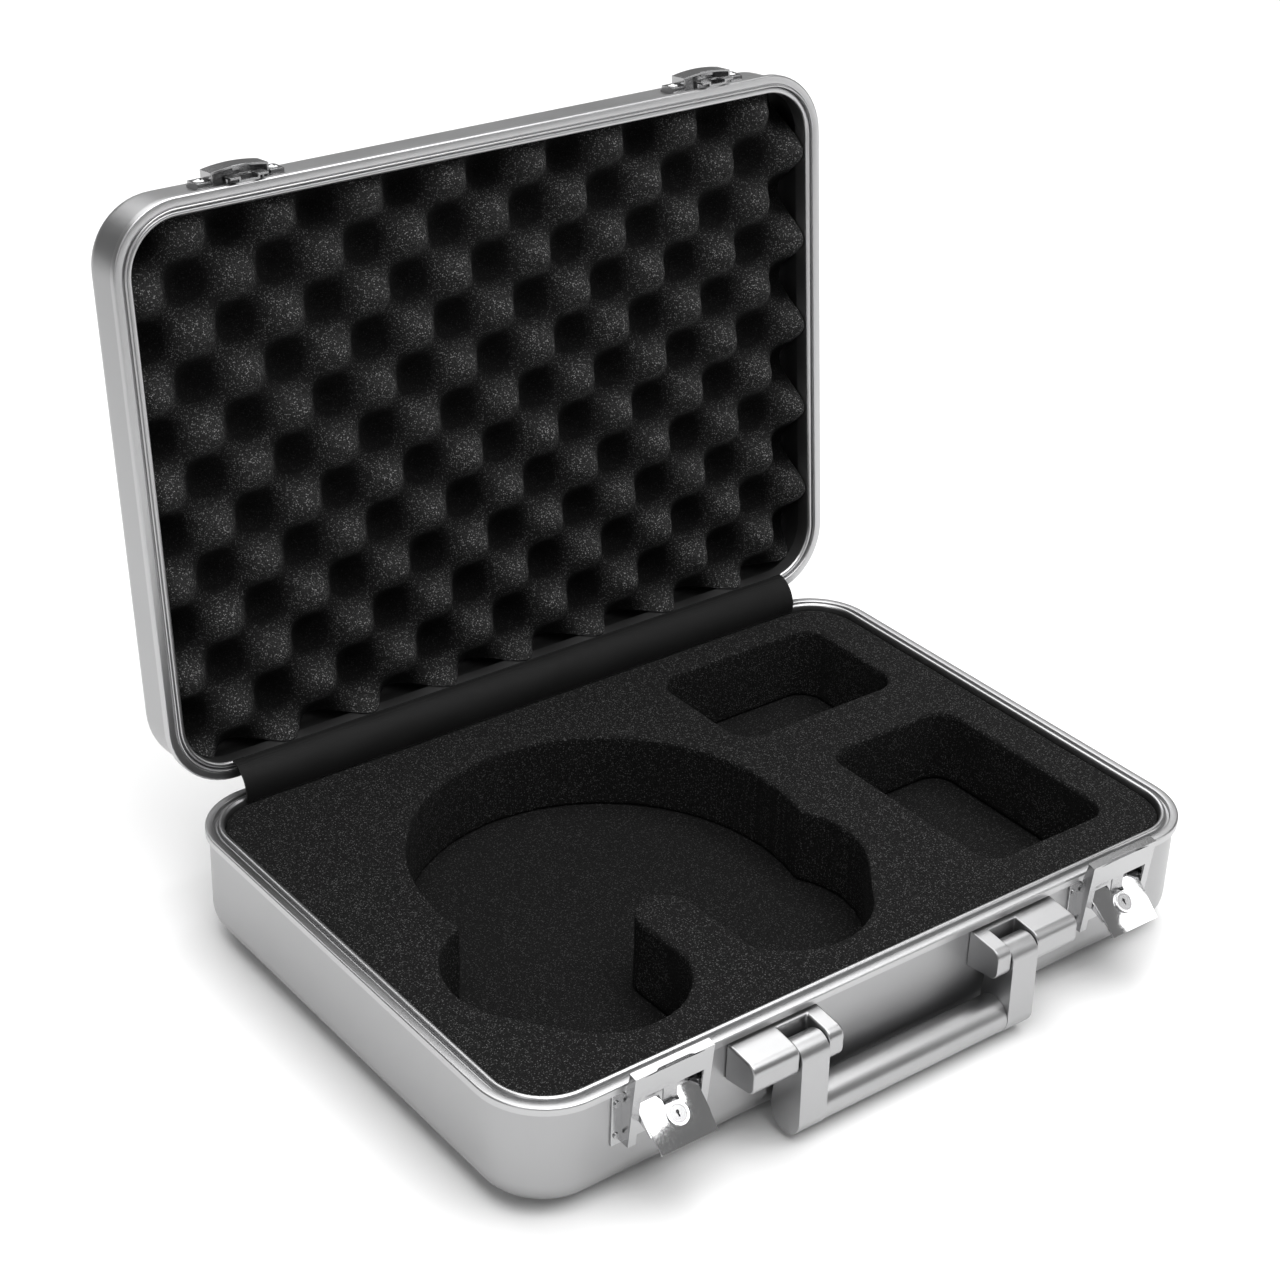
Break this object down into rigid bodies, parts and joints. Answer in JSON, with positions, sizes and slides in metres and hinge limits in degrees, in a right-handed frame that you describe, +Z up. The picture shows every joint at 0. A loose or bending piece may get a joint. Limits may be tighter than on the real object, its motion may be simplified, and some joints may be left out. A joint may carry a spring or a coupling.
{
  "type": "headphone carrying case",
  "caption": "Hard metal carrying case with foam-lined halves, a rear hinge, key-lock draw latches and a folding carry handle; holds headphones, their cable and accessories.",
  "frame": {"origin": "Centre of the footprint of the open case, on the floor.", "axes": "+X to the right across the front, -Y the front with the latches, +Z up."},
  "size_m": [0.44, 0.4026, 0.3864],
  "materials": {
    "shell": "fine satin",
    "rim": "bright extruded",
    "foam": "open-cell charcoal foam",
    "cloth": "thin woven cloth",
    "chrome": "polished",
    "handle": "satin",
    "steel": "plain",
    "rubber": "matt"
  },
  "bodies": {
    "base": {"base_shell": "shell", "base_rim": "rim", "base_foam_pad": "foam", "base_foam": "foam", "base_feet": "rubber", "base_foot_screws": "steel", "rear_feet_base": "rubber", "hinge_cover": "cloth", "hinge_base_leaves": "steel", "hinge_pins": "steel", "bracket_left": "handle", "bracket_right": "handle", "handle_pins": "steel", "latch_plate_left": "chrome", "latch_plate_right": "chrome", "latch_cover_left": "chrome", "latch_cover_right": "chrome", "latch_rivets": "steel", "flap_pins": "steel"},
    "lid": {"lid_shell": "shell", "lid_rim": "rim", "lid_foam": "foam", "rear_feet_lid": "rubber", "hinge_lid_leaves": "steel", "catch_left": "chrome", "catch_right": "chrome", "catch_screws": "chrome"},
    "handle": {"handle_arm_left": "handle", "handle_arm_right": "handle", "handle_grip": "handle"},
    "flap_left_body": {"flap_left": "chrome", "crank_pin_left": "steel", "lock_sleeve_left": "chrome"},
    "hook_left_body": {"hook_left": "steel"},
    "lock_left_body": {"lock_plug_left": "chrome"},
    "flap_right_body": {"flap_right": "chrome", "crank_pin_right": "steel", "lock_sleeve_right": "chrome"},
    "hook_right_body": {"hook_right": "steel"},
    "lock_right_body": {"lock_plug_right": "chrome"}
  },
  "joints": [
    {"name": "lid_hinge", "type": "hinge", "parent": "base", "child": "lid", "pos_m": [0, 0.13453, 0.0684], "axis": [1, 0, 0], "range_deg": [0, 96], "deforming": ["hinge_cover"]},
    {"name": "handle_pivot", "type": "hinge", "parent": "base", "child": "handle", "pos_m": [0, -0.19067, 0.049], "axis": [-1, 0, 0], "range_deg": [0, 100]},
    {"name": "flap_left_pivot", "type": "hinge", "parent": "base", "child": "flap_left_body", "pos_m": [-0.143, -0.18059, 0.0495], "axis": [1, 0, 0], "range_deg": [0, 55.3]},
    {"name": "hook_left_pivot", "type": "hinge", "parent": "flap_left_body", "child": "hook_left_body", "pos_m": [-0.143, -0.18417, 0.04824], "axis": [1, 0, 0], "range_deg": [-55.3, 0]},
    {"name": "lock_left_turn", "type": "hinge", "parent": "flap_left_body", "child": "lock_left_body", "pos_m": [-0.143, -0.18764, 0.04359], "axis": [0, -0.6428, 0.766], "range_deg": [0, 90]},
    {"name": "flap_right_pivot", "type": "hinge", "parent": "base", "child": "flap_right_body", "pos_m": [0.147, -0.18059, 0.0495], "axis": [1, 0, 0], "range_deg": [0, 55.3]},
    {"name": "hook_right_pivot", "type": "hinge", "parent": "flap_right_body", "child": "hook_right_body", "pos_m": [0.147, -0.18417, 0.04824], "axis": [1, 0, 0], "range_deg": [-55.3, 0]},
    {"name": "lock_right_turn", "type": "hinge", "parent": "flap_right_body", "child": "lock_right_body", "pos_m": [0.147, -0.18764, 0.04359], "axis": [0, -0.6428, 0.766], "range_deg": [0, 90]}
  ],
  "couplings": [
    {"joint": "hook_left_pivot", "follows": "flap_left_pivot", "ratio": -1},
    {"joint": "hook_right_pivot", "follows": "flap_right_pivot", "ratio": -1}
  ]
}
